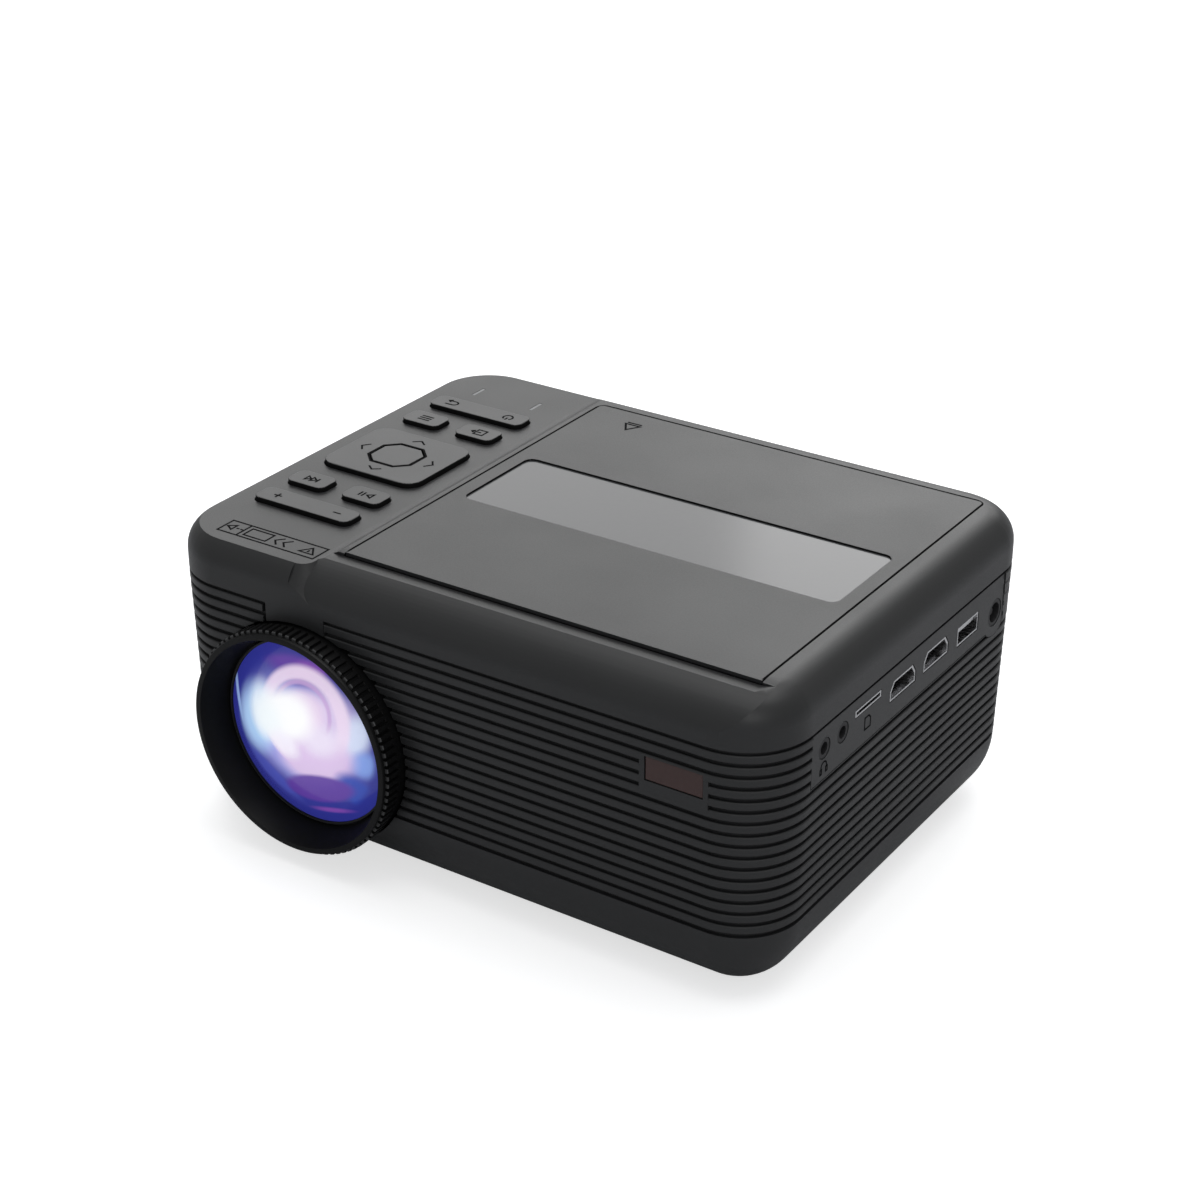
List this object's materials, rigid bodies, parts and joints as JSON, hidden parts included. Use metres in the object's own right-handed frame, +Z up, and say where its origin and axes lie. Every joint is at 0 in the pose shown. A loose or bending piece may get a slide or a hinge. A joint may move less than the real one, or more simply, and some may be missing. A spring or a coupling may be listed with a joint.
{
  "type": "projector with disc player",
  "caption": "Compact home projector with a disc player under a hinged lid, key panel, turning focus ring, and a row of sockets on one side.",
  "frame": {"origin": "on the table, under the centre of the whole footprint, lens ring included", "axes": "+Z up, the lens and the front face -Y, the sockets face +X, the key panel lies at -X"},
  "size_m": [0.204, 0.162, 0.0943],
  "materials": {
    "casing_plastic": "fine matte texture",
    "key_plastic": "smooth matte",
    "dark_plastic": "matte",
    "ring_plastic": "satin",
    "window_plastic": "smoked gloss",
    "red_plastic": "dark red translucent",
    "light_plastic": "translucent",
    "rubber": "matte",
    "steel": "plain",
    "aluminium": "extruded",
    "brass": "machined",
    "circuit_board": "solder resist",
    "coated_glass": "blue-violet coating",
    "clear_glass": "clear",
    "panel_glass": "dark panel",
    "lamp_plastic": "phosphor"
  },
  "bodies": {
    "case": {"top_cover": "casing_plastic", "side_shell": "casing_plastic", "bottom_cover": "casing_plastic", "rubber_feet": "rubber", "case_screws": "steel", "tripod_nut": "brass", "port_panel": "casing_plastic", "ir_window": "red_plastic", "ir_receiver": "dark_plastic", "lid_hinge_pins": "steel", "disc_deck": "dark_plastic", "drive_chassis": "steel", "chassis_grommets": "rubber", "spindle_motor": "steel", "guide_rods": "steel", "sled_motor": "steel", "indicator_lights": "light_plastic", "key_board": "circuit_board", "key_switches": "steel", "lens_mount": "dark_plastic", "optics_tray": "dark_plastic", "optics_cover": "dark_plastic", "fresnel_front": "clear_glass", "lcd_panel": "panel_glass", "fresnel_rear": "clear_glass", "condenser_lens": "clear_glass", "led_lamp": "lamp_plastic", "heat_sink": "aluminium", "fan_frame": "dark_plastic", "main_board": "circuit_board", "board_parts": "dark_plastic", "headphone_socket": "dark_plastic", "av_socket": "dark_plastic", "card_slot": "steel", "video_socket_1": "steel", "video_socket_2": "steel", "usb_socket": "steel", "power_socket": "dark_plastic", "speaker": "dark_plastic"},
    "lid": {"disc_lid": "casing_plastic", "lid_window": "window_plastic"},
    "latch": {"lid_latch": "light_plastic"},
    "spindle": {"disc_hub": "dark_plastic"},
    "sled": {"pickup_sled": "dark_plastic"},
    "lens_carrier": {"pickup_lens": "clear_glass"},
    "feed_screw": {"lead_screw": "steel"},
    "power_key": {"power_rocker": "key_plastic"},
    "menu_key": {"menu_button": "key_plastic"},
    "source_key": {"source_button": "key_plastic"},
    "previous_key": {"previous_button": "key_plastic"},
    "play_key": {"play_button": "key_plastic"},
    "volume_key": {"volume_rocker": "key_plastic"},
    "ok_key": {"ok_button": "key_plastic"},
    "pad_seat": {"pad_pivot": "dark_plastic"},
    "pad": {"direction_pad": "key_plastic"},
    "ring": {"focus_ring": "ring_plastic"},
    "barrel": {"lens_barrel": "dark_plastic", "front_lens": "coated_glass", "rear_lens": "clear_glass"},
    "fan": {"fan_rotor": "dark_plastic"}
  },
  "joints": [
    {"name": "lid_hinge", "type": "hinge", "parent": "case", "child": "lid", "pos_m": [0.0227, -0.063, 0.0846], "axis": [1, 0, 0], "range_deg": [0, 75]},
    {"name": "lid_latch_press", "type": "slide", "parent": "case", "child": "latch", "axis": [0, 0, 1], "range_m": [-0.002, 0], "stiffness_N_per_m": 300},
    {"name": "disc_spin", "type": "hinge", "parent": "case", "child": "spindle", "pos_m": [0.0227, 0.00605, 0.083], "axis": [0, 0, 1], "continuous": true},
    {"name": "feed_screw_turn", "type": "hinge", "parent": "case", "child": "feed_screw", "pos_m": [0.0487, 0.02105, 0.0765], "axis": [0, 1, 0], "range_deg": [0, 3800]},
    {"name": "pickup_slide", "type": "slide", "parent": "case", "child": "sled", "axis": [0, 1, 0], "range_m": [0, 0.0316]},
    {"name": "pickup_lens_float", "type": "slide", "parent": "sled", "child": "lens_carrier", "axis": [0, 0, 1], "range_m": [-0.0005, 0.0005], "stiffness_N_per_m": 100},
    {"name": "power_rock", "type": "hinge", "parent": "case", "child": "power_key", "pos_m": [-0.074, 0.0458, 0.0885], "axis": [0, 1, 0], "range_deg": [-2.5, 2.5], "stiffness_Nm_per_rad": 0.3},
    {"name": "volume_rock", "type": "hinge", "parent": "case", "child": "volume_key", "pos_m": [-0.074, -0.0394, 0.0885], "axis": [0, 1, 0], "range_deg": [-2.5, 2.5], "stiffness_Nm_per_rad": 0.3},
    {"name": "menu_press", "type": "slide", "parent": "case", "child": "menu_key", "axis": [0, 0, 1], "range_m": [-0.0008, 0], "stiffness_N_per_m": 800},
    {"name": "source_press", "type": "slide", "parent": "case", "child": "source_key", "axis": [0, 0, 1], "range_m": [-0.0008, 0], "stiffness_N_per_m": 800},
    {"name": "previous_press", "type": "slide", "parent": "case", "child": "previous_key", "axis": [0, 0, 1], "range_m": [-0.0008, 0], "stiffness_N_per_m": 800},
    {"name": "play_press", "type": "slide", "parent": "case", "child": "play_key", "axis": [0, 0, 1], "range_m": [-0.0008, 0], "stiffness_N_per_m": 800},
    {"name": "ok_press", "type": "slide", "parent": "case", "child": "ok_key", "axis": [0, 0, 1], "range_m": [-0.0008, 0], "stiffness_N_per_m": 800},
    {"name": "pad_tilt_front_back", "type": "hinge", "parent": "case", "child": "pad_seat", "pos_m": [-0.074, 0.0032, 0.0881], "axis": [1, 0, 0], "range_deg": [-3, 3], "stiffness_Nm_per_rad": 0.4},
    {"name": "pad_tilt_left_right", "type": "hinge", "parent": "pad_seat", "child": "pad", "pos_m": [-0.074, 0.0032, 0.0881], "axis": [0, 1, 0], "range_deg": [-3, 3], "stiffness_Nm_per_rad": 0.4},
    {"name": "focus_turn", "type": "hinge", "parent": "case", "child": "ring", "pos_m": [-0.0507, -0.075, 0.0405], "axis": [0, 1, 0], "range_deg": [-30, 30]},
    {"name": "focus_slide", "type": "slide", "parent": "case", "child": "barrel", "axis": [0, 1, 0], "range_m": [-0.00146, 0.00146]},
    {"name": "fan_spin", "type": "hinge", "parent": "case", "child": "fan", "pos_m": [-0.0507, 0.07, 0.0405], "axis": [0, 1, 0], "continuous": true}
  ],
  "couplings": [
    {"joint": "focus_turn", "follows": "focus_slide", "rad_per_m": 357},
    {"joint": "feed_screw_turn", "follows": "pickup_slide", "rad_per_m": 2096}
  ]
}
